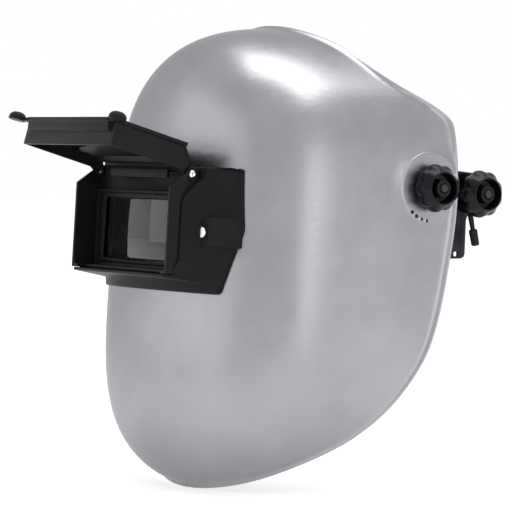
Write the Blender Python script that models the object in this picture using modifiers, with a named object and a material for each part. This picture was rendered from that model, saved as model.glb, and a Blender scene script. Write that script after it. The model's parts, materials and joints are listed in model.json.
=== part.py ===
"""A silver lift-front welding helmet with a lens holder and two hard-hat adapters.

The origin is the middle of the axis through the two shell pivots. +Z is up, the helmet faces -Y,
and the wearer's left is +X. Sizes below are in millimetres, and every mesh is scaled to metres.
"""

import math

import bmesh
import bpy
import numpy as np
from mathutils import Matrix, Vector

MM = 0.001
GAP = 0.3                     # clearance between pieces that touch

# Shell: a rounded shield whose side walls run straight back to the rim
SHELL_HALF_WIDTH = 118.6
SHELL_REACH_UP = 176.2        # from the crown centre line to the top
SHELL_REACH_DOWN = 158.1
SHELL_DEPTH = 120.0           # from the front to where the side walls run straight
SHELL_SQUARENESS = 4.5        # how flat the front is before it turns into the sides
SHELL_TOP_POWER = 4.0         # how square the top and the chin are, seen from the front
SHELL_CHIN_POWER = 3.75
SHELL_CENTRE_Z = -61.4
SHELL_WALL_Y = -42.3
SHELL_RAKE = 4.84             # degrees that the top leans back
SHELL_WALL = 2.4
LIP_FLARE = 2.2
LIP_LENGTH = 3.0
SHELL_SIDES = 60
SHELL_RINGS = 16
RIM_HEIGHTS = (-220.0, -200.0, -175.0, -145.0, -110.0, -65.0, -5.0, 43.0, 78.0, 100.0, 128.0)
RIM_DEPTHS = (-146.0, -102.0, -54.0, -22.0, 0.0, 12.7, 22.6, 24.5, -23.0, -43.0, -78.0)

# Pivots and hard-hat adapters
PAD_RADIUS = 22.0
PAD_OUTER_X = 118.8
PAD_INNER_X = 115.0
BOLT_RADIUS = 3.0
BORE_RADIUS = 3.4
STOP_HOLE_REACH = 23.4
STOP_HOLE_RADIUS = 1.4
STOP_HOLE_STEP = 11.5         # degrees between neighbouring stop holes
FIRST_STOP_HOLE = 46.0        # degrees below straight ahead
REAR_PIVOT_Y = 42.4
REAR_PIVOT_Z = -4.8
LINK_INNER_X = 105.1
LINK_OUTER_X = 111.1
LINK_RADIUS = 15.0
KNOB_RADIUS = 17.25
KNOB_HEIGHT = 14.4
KNOB_LOBES = 9
PIVOT_KNOB_X = 120.5
BLADE_KNOB_X = 116.0

# Lens holder, in a frame centred on the lens and tilted with it
HOLDER_Y = -167.4
HOLDER_Z = -29.2
HOLDER_TILT = 4.0             # degrees that the top leans back
BOX_HALF_WIDTH = 65.8
BOX_WALL = 2.6
BOX_RIM_Y = -18.4
BOX_BACK_Y = 4.5
BOX_BOTTOM_Z = -30.0
BOX_TOP_Z = 44.8
WINDOW_HALF_WIDTH = 50.0
WINDOW_HALF_HEIGHT = 21.7
LENS_HALF_WIDTH = 54.0        # the standard 2 by 4 1/4 inch plate
LENS_HALF_HEIGHT = 25.4
NOTCH_HALF_WIDTH = 57.6       # the notch in the floor that the lid's finger lip drops into
NOTCH_BACK_Y = -11.4
HOOD_RIM_HALF_WIDTH = 62.6    # at the box's rim; the hood widens from there to the flange
HOOD_STEP_Y = -9.5            # front of the hood's sides, behind the box's cheeks
HOOD_REAR_Y = 40.0
HOOD_WALL = 2.4
HOOD_REAR_CORNERS = ((86.1, 26.0, 44.95), (90.35, 26.1, 2.0), (78.2, 18.5, -36.8))
FLANGE_CORNERS = (
    (-86.5, 45.2), (-90.8, 2.0), (-77.0, -42.6), (77.0, -42.6), (90.8, 2.0), (86.5, 45.2),
)
FLANGE_THICKNESS = 2.9
FLANGE_FRONT_Y = -4.0
SCREW_BLOCK_X = (62.0, 89.4)
SCREW_BLOCK_Y = (1.8, 34.0)
SCREW_BLOCK_HALF_HEIGHT = 9.9
BEZEL_OPENING_HALF_WIDTH = 59.5
SHELL_OPENING = (52.0, 28.0)  # half width and half height
SCREW_POST_RADIUS = 6.5
SCREW_X = 81.5
SCREW_RADIUS = 1.9
NUT_Y = 33.6

# Lid, about its hinge
HINGE_Y = -1.4
HINGE_Z = 39.8
LID_OPENING = 103.0           # degrees from closed to the open rest position
LID_HALF_WIDTH = 62.6
LID_WALL = 2.2
LID_LENS_DROP = 38.3          # from the hinge down to the middle of the lid's lens
EAR_X = 71.0
EAR_DROP = 71.5
EAR_RADIUS = 6.6

PARTS = "welding_helmet"
CUTTERS = "cutters"


# ---------------------------------------------------------------- scene and mesh helpers

def clear_scene():
    for item in list(bpy.data.objects):
        bpy.data.objects.remove(item, do_unlink=True)


def collection(name):
    made = bpy.data.collections.new(name)
    bpy.context.scene.collection.children.link(made)
    return made


def material(name, colour, roughness, metallic=0.0):
    made = bpy.data.materials.new(name)
    made.use_nodes = True
    shader = made.node_tree.nodes["Principled BSDF"]
    shader.inputs["Base Color"].default_value = (*colour, 1.0)
    shader.inputs["Roughness"].default_value = roughness
    shader.inputs["Metallic"].default_value = metallic
    return made


def empty(name, location, parent=None, tilt=0.0):
    made = bpy.data.objects.new(name, None)
    bpy.context.scene.collection.objects.link(made)
    made.parent = parent
    made.location = [value * MM for value in location]
    made.rotation_euler.x = math.radians(tilt)
    return made


def mesh_of(bm, name):
    bmesh.ops.recalc_face_normals(bm, faces=bm.faces)
    if bm.calc_volume(signed=True) < 0:
        bmesh.ops.reverse_faces(bm, faces=bm.faces)
    mesh = bpy.data.meshes.new(name)
    bm.to_mesh(mesh)
    bm.free()
    return mesh


def piece(name, mesh, finish, parent=None, cutter=False):
    """An object for one mesh in millimetres, scaled to metres; a cutter is only a guide."""
    mesh.transform(Matrix.Scale(MM, 4))
    mesh.materials.append(finish)
    mesh.shade_smooth()
    mesh.set_sharp_from_angle(angle=math.radians(35))
    made = bpy.data.objects.new(name, mesh)
    bpy.data.collections[CUTTERS if cutter else PARTS].objects.link(made)
    made.parent = parent
    if cutter:
        made.hide_render = True
        made.display_type = "WIRE"
    return made


def apply_tool(target, tool, operation):
    step = target.modifiers.new(operation.lower(), "BOOLEAN")
    step.operation = operation
    step.object = tool
    step.solver = "EXACT"


def combine(target, tool_mesh, operation):
    """A Boolean modifier on target, with a hidden helper made from tool_mesh."""
    tool = piece(f"{target.name}_tool", tool_mesh, target.data.materials[0], target.parent, cutter=True)
    apply_tool(target, tool, operation)
    return tool


def cut(target, tool_mesh):
    combine(target, tool_mesh, "DIFFERENCE")


def join(target, tool_mesh):
    """Adds a shape to target; the helper is returned, so that it can be shaped further itself."""
    return combine(target, tool_mesh, "UNION")


def block(x, y, z):
    """A box between the two values given for each axis."""
    bm = bmesh.new()
    bmesh.ops.create_cube(bm, size=1.0)
    spans = (x, y, z)
    bmesh.ops.scale(bm, vec=[span[1] - span[0] for span in spans], verts=bm.verts)
    bmesh.ops.translate(bm, vec=[(span[0] + span[1]) / 2 for span in spans], verts=bm.verts)
    return mesh_of(bm, "block")


TURN = {
    "X": Matrix.Rotation(math.radians(90), 4, "Y"),
    "Y": Matrix.Rotation(math.radians(-90), 4, "X"),
    "Z": Matrix.Identity(4),
}


def rod(axis, radius, start, end, centre=(0.0, 0.0), sides=24, end_radius=None):
    """A cylinder or cone along one axis; centre holds the other two coordinates in X, Y, Z order."""
    bm = bmesh.new()
    bmesh.ops.create_cone(
        bm, cap_ends=True, segments=sides, radius1=radius,
        radius2=radius if end_radius is None else end_radius, depth=end - start,
    )
    middle = list(centre)
    middle.insert("XYZ".index(axis), (start + end) / 2)
    bmesh.ops.transform(bm, matrix=Matrix.Translation(middle) @ TURN[axis], verts=bm.verts)
    return mesh_of(bm, "rod")


def arc(centre, radius, start, end, steps):
    """Points along an arc, in degrees from the first axis towards the second."""
    angles = np.radians(np.linspace(start, end, steps + 1))
    return [(centre[0] + radius * math.cos(a), centre[1] + radius * math.sin(a)) for a in angles]


def rounded(corners, radius, steps=3):
    """The outline with each corner replaced by a short arc-like curve."""
    points = []
    for index, corner in enumerate(corners):
        here = Vector(corner)
        before = Vector(corners[index - 1])
        after = Vector(corners[(index + 1) % len(corners)])
        start = here + (before - here).normalized() * radius
        end = here + (after - here).normalized() * radius
        for step in range(steps + 1):
            t = step / steps
            points.append(tuple(start.lerp(here, t).lerp(here.lerp(end, t), t)))
    return points


def rectangle(half_width, half_height, centre=(0.0, 0.0)):
    u, v = centre
    return [
        (u - half_width, v - half_height), (u + half_width, v - half_height),
        (u + half_width, v + half_height), (u - half_width, v + half_height),
    ]


def plate(axis, outlines, start, end):
    """A flat piece: closed outlines (the first outside, the rest holes) drawn as a 2D curve."""
    curve = bpy.data.curves.new("outline", "CURVE")
    curve.dimensions = "2D"
    curve.fill_mode = "BOTH"
    curve.extrude = (end - start) / 2
    for outline in outlines:
        spline = curve.splines.new("POLY")
        spline.points.add(len(outline) - 1)
        for point, (u, v) in zip(spline.points, outline):
            point.co = (u, v, 0.0, 1.0)
        spline.use_cyclic_u = True
    drawn = bpy.data.objects.new("outline", curve)
    bpy.context.scene.collection.objects.link(drawn)
    mesh = bpy.data.meshes.new_from_object(drawn.evaluated_get(bpy.context.evaluated_depsgraph_get()))
    bpy.data.objects.remove(drawn, do_unlink=True)
    bm = bmesh.new()
    bm.from_mesh(mesh)
    bmesh.ops.remove_doubles(bm, verts=bm.verts, dist=0.001)
    bmesh.ops.dissolve_limit(bm, angle_limit=0.01, verts=bm.verts, edges=bm.edges)
    middle = (start + end) / 2
    for vert in bm.verts:
        u, v, depth = vert.co
        place = [u, v]
        place.insert("XYZ".index(axis), middle + depth)
        vert.co = place
    return mesh_of(bm, "plate")


def turned(profile, steps, centre=(0.0, 0.0)):
    """A closed profile of (distance along X, radius) pairs turned about the X direction."""
    bm = bmesh.new()
    verts = [bm.verts.new((radius, 0.0, along)) for along, radius in profile]
    for index, vert in enumerate(verts):
        bm.edges.new((vert, verts[(index + 1) % len(verts)]))
    mesh = bpy.data.meshes.new("profile")
    bm.to_mesh(mesh)
    bm.free()
    drawn = bpy.data.objects.new("profile", mesh)
    bpy.context.scene.collection.objects.link(drawn)
    screw = drawn.modifiers.new("turn", "SCREW")
    screw.steps = steps
    screw.render_steps = steps
    screw.use_merge_vertices = True
    screw.merge_threshold = 0.0001
    made = bpy.data.meshes.new_from_object(drawn.evaluated_get(bpy.context.evaluated_depsgraph_get()))
    bpy.data.objects.remove(drawn, do_unlink=True)
    made.transform(Matrix.Translation((0.0, *centre)) @ TURN["X"])
    bm = bmesh.new()
    bm.from_mesh(made)
    return mesh_of(bm, "turned")


def ring(start, end, outer, inner, centre=(0.0, 0.0), steps=28):
    return turned([(start, inner), (start, outer), (end, outer), (end, inner)], steps, centre)


def mirrored(mesh):
    """The same mesh on the wearer's right."""
    mesh.transform(Matrix.Scale(-1, 4, (1, 0, 0)))
    mesh.flip_normals()
    return mesh


# ---------------------------------------------------------------- shell

def rim_depth(height):
    """The rim's Y at one height: a monotone cubic through the rim's points."""
    z = np.array(RIM_HEIGHTS)
    y = np.array(RIM_DEPTHS)
    slope = np.diff(y) / np.diff(z)
    tangent = np.concatenate([[slope[0]], np.where(
        slope[:-1] * slope[1:] > 0, 2 * slope[:-1] * slope[1:] / (slope[:-1] + slope[1:] + 1e-9), 0.0
    ), [slope[-1]]])
    at = np.clip(height, z[0], z[-1])
    k = np.clip(np.searchsorted(z, at) - 1, 0, len(z) - 2)
    width = z[k + 1] - z[k]
    t = (at - z[k]) / width
    return (
        (1 + 2 * t) * (1 - t) ** 2 * y[k] + t * (1 - t) ** 2 * width * tangent[k]
        + t * t * (3 - 2 * t) * y[k + 1] + t * t * (t - 1) * width * tangent[k + 1]
    )


def shell_meridian(angle, grow, back_y=None):
    """Points from the front centre to the rim at one angle round the shell, and the way out there."""
    across, upward = math.cos(angle), math.sin(angle)
    a = SHELL_HALF_WIDTH + grow
    c = (SHELL_REACH_UP if upward > 0 else SHELL_REACH_DOWN) + grow
    power = SHELL_TOP_POWER if upward > 0 else SHELL_CHIN_POWER
    turn = np.linspace(0.0, math.pi / 2, 90)
    level = 1 - np.cos(turn) ** SHELL_SQUARENESS
    low, high = np.zeros_like(level), np.full_like(level, 400.0)
    for _ in range(40):
        reach = (low + high) / 2
        size = (abs(across) * reach / a) ** 2 + (abs(upward) * reach / c) ** power
        low = np.where(size < level, reach, low)
        high = np.where(size < level, high, reach)
    x, z = reach * across, reach * upward
    y = SHELL_WALL_Y - (SHELL_DEPTH + grow) * np.cos(turn) + math.tan(math.radians(SHELL_RAKE)) * z
    points = np.stack([x, y, z + SHELL_CENTRE_Z], axis=1)
    straight = points[-1] + np.outer(np.linspace(0.0, 110.0, 60)[1:], (0.0, 1.0, 0.0))
    points = np.concatenate([points, straight])
    end = rim_depth(points[:, 2]) if back_y is None else np.full(len(points), back_y)
    last = int(np.argmax(points[:, 1] > end))
    before, after = points[last - 1], points[last]
    share = (end[last - 1] - before[1]) / ((after[1] - before[1]) - (end[last] - end[last - 1]))
    points = np.concatenate([points[:last], [before + share * (after - before)]])
    tip = points[-1]
    out = np.array([
        2 * tip[0] / a ** 2, 0.0,
        power * math.copysign(abs(tip[2] - SHELL_CENTRE_Z) ** (power - 1) / c ** power, upward),
    ])
    return points, out / np.linalg.norm(out)


def spaced(points, count, end_trim):
    """The polyline resampled at equal steps, stopping end_trim before its end."""
    length = np.concatenate([[0.0], np.cumsum(np.linalg.norm(np.diff(points, axis=0), axis=1))])
    at = np.linspace(0.0, length[-1] - end_trim, count + 1)[1:]
    return np.stack([np.interp(at, length, points[:, i]) for i in range(3)], axis=1)


def shell_surface(sides, rings, grow=0.0, lip=False, back_y=None):
    """The shield as a fan of meridians: an open surface, or a closed solid where back_y is given."""
    bm = bmesh.new()
    pole = bm.verts.new((0.0, SHELL_WALL_Y - SHELL_DEPTH - grow, SHELL_CENTRE_Z))
    rows = []
    for side in range(sides):
        points, out = shell_meridian(2 * math.pi * (side + 0.5) / sides, grow, back_y)
        row = list(spaced(points, rings, LIP_LENGTH if lip else 0.0))
        if lip:
            row.append(row[-1] + (points[-1] - row[-1]) * 0.6 + out * LIP_FLARE * 0.45)
            row.append(points[-1] + out * LIP_FLARE)
        rows.append([bm.verts.new(point) for point in row])
    for side, row in enumerate(rows):
        other = rows[(side + 1) % sides]
        bm.faces.new((pole, row[0], other[0]))
        for index in range(len(row) - 1):
            bm.faces.new((row[index], row[index + 1], other[index + 1], other[index]))
    if back_y is not None:
        bm.faces.new([row[-1] for row in rows])
    mesh = mesh_of(bm, "shell_surface")
    if back_y is None:
        face = min(mesh.polygons, key=lambda item: item.center.y)
        if face.normal.y > 0:
            mesh.flip_normals()
    return mesh


def envelope(grow, back_y=20.0):
    """The closed solid inside the shell's outer surface, grown by a clearance."""
    return shell_surface(72, 44, grow=grow, back_y=back_y)


def holder_matrix():
    place = Matrix.Translation((0.0, HOLDER_Y, HOLDER_Z))
    return place @ Matrix.Rotation(math.radians(-HOLDER_TILT), 4, "X")


def holder_world(mesh):
    """A mesh given in the tilted holder frame, moved into the object's frame."""
    mesh.transform(holder_matrix())
    return mesh


def stop_hole_angles():
    return [FIRST_STOP_HOLE + index * STOP_HOLE_STEP for index in range(4)]


def stop_hole_centre(angle):
    turn = math.radians(angle)
    return (-STOP_HOLE_REACH * math.cos(turn), -STOP_HOLE_REACH * math.sin(turn))


def shell(finish):
    """The silver shield, with flat pivot pads, stop holes, the lens opening and two screw posts."""
    made = piece("shell", shell_surface(SHELL_SIDES, SHELL_RINGS, lip=True), finish)
    wall = made.modifiers.new("wall", "SOLIDIFY")
    wall.thickness = SHELL_WALL * MM
    wall.offset = -1.0
    wall.use_even_offset = True
    for side in (1, -1):
        pad = rod("X", PAD_RADIUS, PAD_INNER_X, PAD_OUTER_X, sides=48)
        join(made, pad if side > 0 else mirrored(pad))
    for side in (1, -1):
        seat = rod("X", PAD_RADIUS - 0.5, PAD_INNER_X - 12.0, PAD_INNER_X, sides=48)
        cut(made, seat if side > 0 else mirrored(seat))
    holder_screw_posts(made)
    bore = rod("X", BORE_RADIUS, -140.0, 140.0)
    cut(made, bore)
    for angle in stop_hole_angles():
        cut(made, rod("X", STOP_HOLE_RADIUS, -140.0, 140.0, stop_hole_centre(angle), sides=16))
    opening = rounded(rectangle(*SHELL_OPENING, (0.0, HOLDER_Z)), 6.0)
    cut(made, plate("Y", [opening], -175.0, -110.0))
    return made


def holder_screw_posts(shell_object):
    """Two flat posts on the inside of the shell, where the nuts of the holder screws bear."""
    for side in (1, -1):
        centre = (side * SCREW_X, 0.0)
        post = join(shell_object, holder_world(rod("Y", SCREW_POST_RADIUS, 10.0, NUT_Y - GAP, centre)))
        combine(post, envelope(-0.7), "INTERSECT")
    for side in (1, -1):
        centre = (side * SCREW_X, 0.0)
        cut(shell_object, holder_world(rod("Y", SCREW_RADIUS + GAP, 5.0, 50.0, centre, sides=16)))


# ---------------------------------------------------------------- lens holder: bezel and housing

def holder_local(mesh):
    """A mesh given in the object's frame, moved into the tilted holder frame."""
    mesh.transform(holder_matrix().inverted())
    return mesh


def hood_solid():
    """A box front that widens and drops to the flange's outline and is carried on into the shell."""
    corners = [
        (HOOD_RIM_HALF_WIDTH, BOX_RIM_Y, BOX_BOTTOM_Z - HOOD_WALL),
        (HOOD_RIM_HALF_WIDTH, BOX_RIM_Y, HOOD_REAR_CORNERS[0][2]),
    ]
    for x, y, z in HOOD_REAR_CORNERS:
        corners += [(x, y, z), (x, HOOD_REAR_Y, z)]
    bm = bmesh.new()
    for side in (1, -1):
        for x, y, z in corners:
            bm.verts.new((side * x, y, z))
    bmesh.ops.convex_hull(bm, input=bm.verts)
    return mesh_of(bm, "hood")


def holder_bezel(frame, finish):
    """The tapered surround: a hood with a flange that follows the shell and two screw blocks."""
    made = piece("holder_bezel", hood_solid(), finish, frame)
    flange = join(made, plate("Y", [rounded(FLANGE_CORNERS, 3.0)], FLANGE_FRONT_Y, HOOD_REAR_Y))
    combine(flange, holder_local(envelope(FLANGE_THICKNESS)), "INTERSECT")
    for side in (1, -1):
        x = sorted(side * value for value in SCREW_BLOCK_X)
        join(made, block(x, SCREW_BLOCK_Y, (-SCREW_BLOCK_HALF_HEIGHT, SCREW_BLOCK_HALF_HEIGHT)))
    hollow = BOX_HALF_WIDTH + 2.0
    hollow_z = (BOX_BOTTOM_Z - 1.5, BOX_TOP_Z - 2.0)
    cut(made, block((-hollow, hollow), (BOX_BACK_Y + 2.5, HOOD_REAR_Y + 1.0), hollow_z))
    box = BOX_HALF_WIDTH + GAP
    box_back = BOX_BACK_Y + GAP
    cut(made, block((-box, box), (BOX_RIM_Y - 9.0, box_back), (BOX_BOTTOM_Z - GAP, BOX_TOP_Z + 9.0)))
    opening = (-BEZEL_OPENING_HALF_WIDTH, BEZEL_OPENING_HALF_WIDTH)
    cut(made, block(opening, (0.0, 20.0), (BOX_BOTTOM_Z, 31.5)))
    step_back = [
        (-40.0, 70.0), (4.8, 70.0), (4.8, 37.5), (-4.2, 29.6), (-7.6, 25.6), (HOOD_STEP_Y, 20.5),
        (HOOD_STEP_Y, -20.0), (-11.5, -23.5), (-17.2, -26.2), (BOX_RIM_Y, -28.0), (-40.0, -28.0),
    ]
    cut(made, plate("X", [step_back], -110.0, 110.0))
    cut(made, holder_local(envelope(GAP)))
    for side in (1, -1):
        cut(made, rod("Y", SCREW_RADIUS + GAP, -20.0, 60.0, (side * SCREW_X, 0.0), sides=16))
    return made


def lens_housing(frame, finish):
    """The open box: cheeks with hinge ears, a back wall with the window, and a pocket behind it."""
    side_outline = [
        (BOX_RIM_Y, BOX_BOTTOM_Z), (BOX_BACK_Y, BOX_BOTTOM_Z), (BOX_BACK_Y, BOX_TOP_Z),
        (-2.6, BOX_TOP_Z), (-5.8, 40.6), (BOX_RIM_Y, 31.2),
    ]
    solid = plate("X", [side_outline], -BOX_HALF_WIDTH, BOX_HALF_WIDTH)
    made = piece("lens_housing", solid, finish, frame)
    inside = BOX_HALF_WIDTH - BOX_WALL
    floor = BOX_BOTTOM_Z + BOX_WALL
    cut(made, block((-inside, inside), (BOX_RIM_Y - 9.0, -0.9), (floor, BOX_TOP_Z + 9.0)))
    cut(made, block((-inside, inside), (-1.5, 2.3), (27.6, 42.6)))
    cut(made, block((-inside, inside), (-1.5, 2.3), (42.0, BOX_TOP_Z + 9.0)))
    join(made, block((-58.0, 58.0), (2.6, 4.2), (40.0, 46.6)))
    top_half = 39.0
    join(made, block((-top_half, top_half), (-5.6, 3.0), (40.6, 43.0)))
    join(made, block((-top_half, top_half), (-5.6, -3.4), (36.6, 41.5)))
    border = [rectangle(WINDOW_HALF_WIDTH + 6.0, 25.0), rectangle(WINDOW_HALF_WIDTH, WINDOW_HALF_HEIGHT)]
    join(made, plate("Y", border, -2.1, 0.5))
    pocket_x = LENS_HALF_WIDTH + GAP
    pocket_z = LENS_HALF_HEIGHT + GAP
    cut(made, block((-pocket_x, pocket_x), (-0.1, BOX_BACK_Y + 5.0), (-pocket_z, pocket_z)))
    window = (-WINDOW_HALF_HEIGHT, WINDOW_HALF_HEIGHT)
    cut(made, block((-WINDOW_HALF_WIDTH, WINDOW_HALF_WIDTH), (-9.0, 9.0), window))
    notch = (-NOTCH_HALF_WIDTH, NOTCH_HALF_WIDTH)
    cut(made, block(notch, (BOX_RIM_Y - 9.0, NOTCH_BACK_Y), (BOX_BOTTOM_Z - 9.0, floor + 1.0)))
    cut(made, rod("X", 1.7, -80.0, 80.0, (HINGE_Y, HINGE_Z), sides=16))
    return made


def ring_frame(name, frame, finish, y, outer, inner, centre_z=0.0):
    """A flat rectangular frame, such as a gasket or a retainer."""
    outlines = [
        rounded(rectangle(*outer, (0.0, centre_z)), 1.5, 2),
        rounded(rectangle(*inner, (0.0, centre_z)), 1.5, 2),
    ]
    return piece(name, plate("Y", outlines, *y), finish, frame)


def lens_plate(name, frame, finish, y, centre_z=0.0):
    z = (centre_z - LENS_HALF_HEIGHT, centre_z + LENS_HALF_HEIGHT)
    return piece(name, block((-LENS_HALF_WIDTH, LENS_HALF_WIDTH), y, z), finish, frame)


def housing_lens(frame, finishes):
    """The fixed lens with its gasket and the retainer that closes the pocket."""
    window = (WINDOW_HALF_WIDTH, WINDOW_HALF_HEIGHT)
    lens_plate("cover_lens", frame, finishes["glass"], (0.2, 2.6))
    outer = (LENS_HALF_WIDTH, LENS_HALF_HEIGHT)
    ring_frame("lens_gasket", frame, finishes["rubber"], (2.9, 4.3), outer, window)
    ring_frame("lens_retainer", frame, finishes["black"], (4.8, 6.5), (58.5, 29.2), window)


def holder_screws(frame, finishes):
    """Two screws through the blocks of the bezel, each with a nut inside the shell."""
    for side, word in ((1, "left"), (-1, "right")):
        centre = (side * SCREW_X, 0.0)
        head = rod("Y", 3.6, -1.1, 1.5, centre)
        screw = piece(f"holder_screw_{word}", head, finishes["steel"], frame)
        join(screw, rod("Y", SCREW_RADIUS, 0.5, NUT_Y + 5.0, centre, sides=16))
        cut(screw, block((centre[0] - 0.5, centre[0] + 0.5), (-2.0, -0.3), (-5.0, 5.0)))
        hexagon = rod("Y", 4.6, NUT_Y, NUT_Y + 3.2, centre, sides=6)
        nut = piece(f"holder_nut_{word}", hexagon, finishes["steel"], frame)
        cut(nut, rod("Y", SCREW_RADIUS + 0.15, 20.0, 50.0, centre, sides=16))


# ---------------------------------------------------------------- lid

def lift_lid(axis, finish):
    """The flip-up lid, drawn closed about its hinge: plate, walls, finger lip, ears and hinge bosses."""
    wall_profile = [
        (-18.0, -66.2), (-1.3, -66.2), (-1.3, -9.0), (2.4, -2.4),
        *arc((0.0, 0.0), 3.3, -30.0, 120.0, 6),
        (-6.4, 0.4), (-18.0, -8.4),
    ]
    made = piece("lift_lid", plate("X", [wall_profile], -LID_HALF_WIDTH, LID_HALF_WIDTH), finish, axis)
    inside = LID_HALF_WIDTH - LID_WALL
    cavity = [(-16.8, -64.0), (9.0, -64.0), (9.0, 9.0), (-7.0, 9.0), (-7.0, -3.0), (-16.8, -10.9)]
    cut(made, plate("X", [cavity], -inside, inside))
    join(made, block((-65.4, 65.4), (-20.0, -17.3), (-70.0, -9.0)))
    lip = [
        (-20.0, -66.0), (-20.0, -71.0), (-17.4, -71.0), (-17.0, -69.8), (-13.4, -69.4),
        (-10.6, -68.2), (-10.6, -66.0),
    ]
    join(made, plate("X", [lip], -57.0, 57.0))
    for side in (1, -1):
        ear = (side * EAR_X, -EAR_DROP)
        join(made, rod("Y", EAR_RADIUS, -23.2, -17.3, ear, sides=32))
    window = (-LID_LENS_DROP - WINDOW_HALF_HEIGHT, -LID_LENS_DROP + WINDOW_HALF_HEIGHT)
    cut(made, block((-WINDOW_HALF_WIDTH, WINDOW_HALF_WIDTH), (-30.0, -10.0), window))
    cut(made, rod("X", 1.7, -80.0, 80.0, sides=16))
    return made


def lid_lenses(axis, finishes):
    """Clear cover plate, dark filter lens, gasket and spring clip, stacked inside the lid."""
    drop = -LID_LENS_DROP
    window = (WINDOW_HALF_WIDTH, WINDOW_HALF_HEIGHT)
    lens_plate("lid_cover_plate", axis, finishes["glass"], (-16.5, -15.0), drop)
    lens_plate("filter_lens", axis, finishes["filter"], (-14.7, -11.7), drop)
    outer = (LENS_HALF_WIDTH, LENS_HALF_HEIGHT)
    ring_frame("lid_lens_gasket", axis, finishes["rubber"], (-11.4, -10.0), outer, window, drop)
    clip_outer = (LENS_HALF_WIDTH, LENS_HALF_HEIGHT - 0.6)
    clip = ring_frame("lid_lens_clip", axis, finishes["black"], (-9.7, -8.3), clip_outer, window, drop)
    for side in (1, -1):
        x = sorted((side * 50.0, side * 60.0))
        join(clip, block(x, (-9.7, -8.3), (drop - 8.0, drop + 8.0)))


def hinge_pins(frame, finish):
    """The two rivets that the lid turns on."""
    for side, word in ((1, "left"), (-1, "right")):
        centre = (HINGE_Y, HINGE_Z)
        shank = rod("X", 1.4, 59.4, BOX_HALF_WIDTH + 0.8, centre, sides=16)
        head = rod("X", 2.6, BOX_HALF_WIDTH + 0.3, BOX_HALF_WIDTH + 1.7, centre, sides=20, end_radius=1.9)
        if side < 0:
            shank, head = mirrored(shank), mirrored(head)
        join(piece(f"hinge_pin_{word}", shank, finish, frame), head)


# ---------------------------------------------------------------- hard-hat adapters

def lobed_knob(start, centre):
    """A nine-lobed knob with a deep socket round its nut, turned and then waved round its rim."""
    r, h = KNOB_RADIUS, KNOB_HEIGHT
    profile = [
        (0.0, BORE_RADIUS), (0.0, 14.0), (1.2, r - 1.0), (3.0, r), (7.4, r), (9.6, r - 1.1),
        (12.2, 13.4), (h, 11.9), (h, 11.0), (5.2, 10.4), (4.6, 6.4), (h - 0.6, 6.2),
        (h, 5.6), (h, BORE_RADIUS),
    ]
    mesh = turned(profile, KNOB_LOBES * 4)
    for vert in mesh.vertices:
        radius = math.hypot(vert.co.y, vert.co.z)
        share = min(max((radius - 12.6) / (r - 12.6), 0.0), 1.0)
        wave = 0.5 - 0.5 * math.cos(KNOB_LOBES * math.atan2(vert.co.z, vert.co.y))
        factor = 1.0 - share * 1.7 * (1.0 - wave ** 0.6) / radius
        vert.co.y *= factor
        vert.co.z *= factor
    mesh.transform(Matrix.Translation((start, *centre)))
    return mesh


def link_outline():
    """A stadium round the two pivots of one adapter."""
    lean = math.degrees(math.atan2(REAR_PIVOT_Z, REAR_PIVOT_Y))
    front = arc((0.0, 0.0), LINK_RADIUS, lean + 90.0, lean + 270.0, 14)
    rear = arc((REAR_PIVOT_Y, REAR_PIVOT_Z), LINK_RADIUS, lean - 90.0, lean + 90.0, 14)
    return front + rear


def hole_outline(centre, radius, steps=16):
    return arc(centre, radius, 0.0, 360.0 * (steps - 1) / steps, steps - 1)


def mount_link():
    rear = (REAR_PIVOT_Y, REAR_PIVOT_Z)
    holes = [hole_outline((0.0, 0.0), BORE_RADIUS), hole_outline(rear, BORE_RADIUS)]
    return plate("X", [link_outline(), *holes], LINK_INNER_X, LINK_OUTER_X)


def stop_washer():
    """A disc against the shell whose arm carries the peg in the second stop hole."""
    tip = stop_hole_centre(FIRST_STOP_HOLE + STOP_HOLE_STEP)
    heading = math.degrees(math.atan2(tip[1], tip[0]))
    disc = arc((0.0, 0.0), 11.0, heading + 25.0, heading + 335.0, 18)
    arm = arc(tip, 3.4, heading - 90.0, heading + 90.0, 6)
    return plate("X", [disc + arm, hole_outline((0.0, 0.0), BORE_RADIUS)], 112.9, 114.7)


def stop_peg():
    """The peg that locks the stop washer in one hole of the shell."""
    centre = stop_hole_centre(FIRST_STOP_HOLE + STOP_HOLE_STEP)
    return rod("X", STOP_HOLE_RADIUS - GAP, 115.0, 118.4, centre, sides=12)


def blade():
    """The flat blade: a round head on the rear bolt, a shoulder, and a leg with a small hole."""
    rear = (REAR_PIVOT_Y, REAR_PIVOT_Z)
    head = arc(rear, 13.5, -50.0, 212.0, 16)
    leg = [
        (25.2, -16.0), (23.2, -21.5), (22.2, -48.4), (22.8, -50.5), (24.8, -51.5),
        (38.2, -51.5), (40.5, -50.3), (41.3, -47.9), (42.4, -24.0), (43.6, -21.2),
    ]
    holes = [hole_outline(rear, BORE_RADIUS), hole_outline((33.0, -48.1), 1.9, 12)]
    return plate("X", [head + leg, *holes], 101.7, 103.7)


def lever_axes():
    """Where the lever's arm leaves its hub and ends, and its directions along and across, as (y, z)."""
    start, end = Vector((37.6, -15.0)), Vector((43.0, -40.6))
    along = (end - start).normalized()
    return start, end, along, Vector((-along.y, along.x))


def lever():
    """A hub on the rear bolt and an arm that narrows to a rounded tip."""
    start, end, along, across = lever_axes()
    centre = (REAR_PIVOT_Y, REAR_PIVOT_Z)
    hub = arc(centre, 9.5, -72.0, 228.0, 20)
    arm = [
        start - across * 2.2, end - across * 0.9 - along * 0.5, end - across * 0.5,
        end + across * 0.5, end + across * 0.9 - along * 0.5, start + across * 2.2,
    ]
    outline = hub + [tuple(point) for point in arm]
    return plate("X", [outline, hole_outline(centre, BORE_RADIUS)], 112.3, 114.9)


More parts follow.
